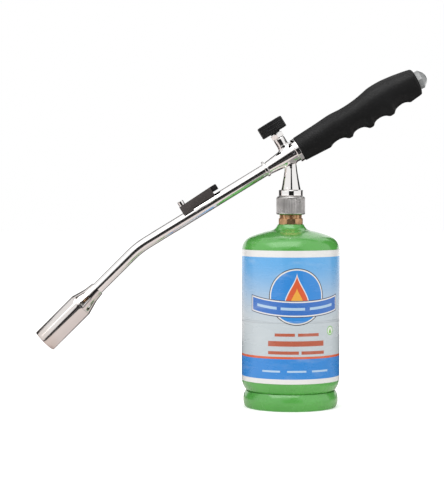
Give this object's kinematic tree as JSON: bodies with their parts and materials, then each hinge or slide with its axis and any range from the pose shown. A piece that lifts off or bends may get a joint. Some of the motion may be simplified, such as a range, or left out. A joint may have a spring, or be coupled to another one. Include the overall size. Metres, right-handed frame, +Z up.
{
  "type": "propane torch",
  "caption": "Long-reach propane torch screwed onto a refillable fuel cylinder, with bent neck tube, slotted burner, flame control knob and push-button igniter in the handle.",
  "frame": {"origin": "centre of the foot ring's standing face, on the floor", "axes": "+Z up along the fuel cylinder's axis, +X towards the handle and igniter button, burner towards -X"},
  "size_m": [0.3907, 0.098, 0.3367],
  "materials": {
    "green_paint": "gloss enamel on drawn steel",
    "label_film": "printed wrap film, gloss",
    "weld_steel": "bare weld bead",
    "valve_brass": "machined brass, dull",
    "seal_rubber": "nitrile rubber",
    "spring_steel": "spring wire",
    "nut_metal": "matt grey, fine straight knurl",
    "chrome": "bright nickel-chrome plate",
    "bronze_filter": "sintered bronze",
    "steel": "plain steel",
    "lead_jacket": "silicone lead jacket",
    "ceramic": "glazed alumina ceramic",
    "heat_steel": "stainless, bright outside and dull inside",
    "black_knob": "black moulded plastic, satin",
    "block_plastic": "dark grey moulded plastic",
    "grip_plastic": "black soft-touch moulding",
    "core_plastic": "glass-filled nylon",
    "button_grey": "light grey moulded plastic, satin",
    "piezo_case": "natural nylon case"
  },
  "bodies": {
    "cylinder": {"lower_shell": "green_paint", "upper_shell": "green_paint", "girth_weld": "weld_steel", "foot_ring": "green_paint", "neck_boss": "green_paint", "label_sleeve": "label_film", "tank_valve": "valve_brass", "valve_plug": "valve_brass", "poppet_spring": "spring_steel"},
    "poppet": {"valve_poppet": "valve_brass", "poppet_seal": "seal_rubber"},
    "seal": {"inlet_seal": "seal_rubber"},
    "nut": {"swivel_nut": "nut_metal"},
    "stem_seal": {"spindle_seal": "seal_rubber"},
    "knob": {"control_knob": "black_knob", "knob_screw": "steel", "valve_spindle": "steel"},
    "button": {"igniter_button": "button_grey", "piezo_plunger": "core_plastic"},
    "torch": {"body_screw": "steel", "burner_barrel": "heat_steel", "burner_cone": "heat_steel", "button_guide": "core_plastic", "button_spring": "spring_steel", "flame_holder": "heat_steel", "gas_jet": "valve_brass", "gas_line": "steel", "gland_nut": "chrome", "handle_core": "core_plastic", "handle_grip": "grip_plastic", "ignition_lead": "lead_jacket", "inlet_collar": "chrome", "inlet_filter": "bronze_filter", "inlet_probe": "valve_brass", "inlet_stem": "valve_brass", "insulator": "ceramic", "jet_plug": "valve_brass", "neck_tube": "chrome", "piezo_unit": "piezo_case", "rest_block": "block_plastic", "rest_pad": "grip_plastic", "rest_saddle": "chrome", "rest_screw": "chrome", "ring_pin": "chrome", "spark_electrode": "steel", "tube_ring": "chrome", "valve_body": "chrome", "valve_bonnet": "chrome", "valve_seat": "valve_brass"}
  },
  "joints": [
    {"name": "torch_lift", "type": "slide", "parent": "cylinder", "child": "seal", "axis": [0, 0, 1], "range_m": [0, 0.01143]},
    {"name": "torch_swivel", "type": "hinge", "parent": "seal", "child": "torch", "pos_m": [0, 0, 0.2525], "axis": [0, 0, 1], "continuous": true},
    {"name": "nut_turn", "type": "hinge", "parent": "torch", "child": "nut", "pos_m": [0, 0, 0.2], "axis": [0, 0, 1], "range_deg": [0, 3240]},
    {"name": "stem_travel", "type": "slide", "parent": "torch", "child": "stem_seal", "axis": [-0.5225, 0, 0.8526], "range_m": [0, 0.0012]},
    {"name": "knob_turn", "type": "hinge", "parent": "stem_seal", "child": "knob", "pos_m": [-0.0186, 0, 0.27864], "axis": [-0.5225, 0, 0.8526], "range_deg": [0, 540]},
    {"name": "igniter_press", "type": "slide", "parent": "torch", "child": "button", "axis": [0.8949, 0, 0.4462], "range_m": [-0.006, 0], "stiffness_N_per_m": 900, "springref_m": 0.004, "deforming": ["button_spring"]},
    {"name": "poppet_press", "type": "slide", "parent": "cylinder", "child": "poppet", "axis": [0, 0, 1], "range_m": [-0.0018, 0], "stiffness_N_per_m": 1200, "springref_m": 0.003, "deforming": ["poppet_spring"]}
  ],
  "couplings": [
    {"joint": "nut_turn", "follows": "torch_lift", "rad_per_m": 4947.4},
    {"joint": "knob_turn", "follows": "stem_travel", "rad_per_m": 7854}
  ]
}
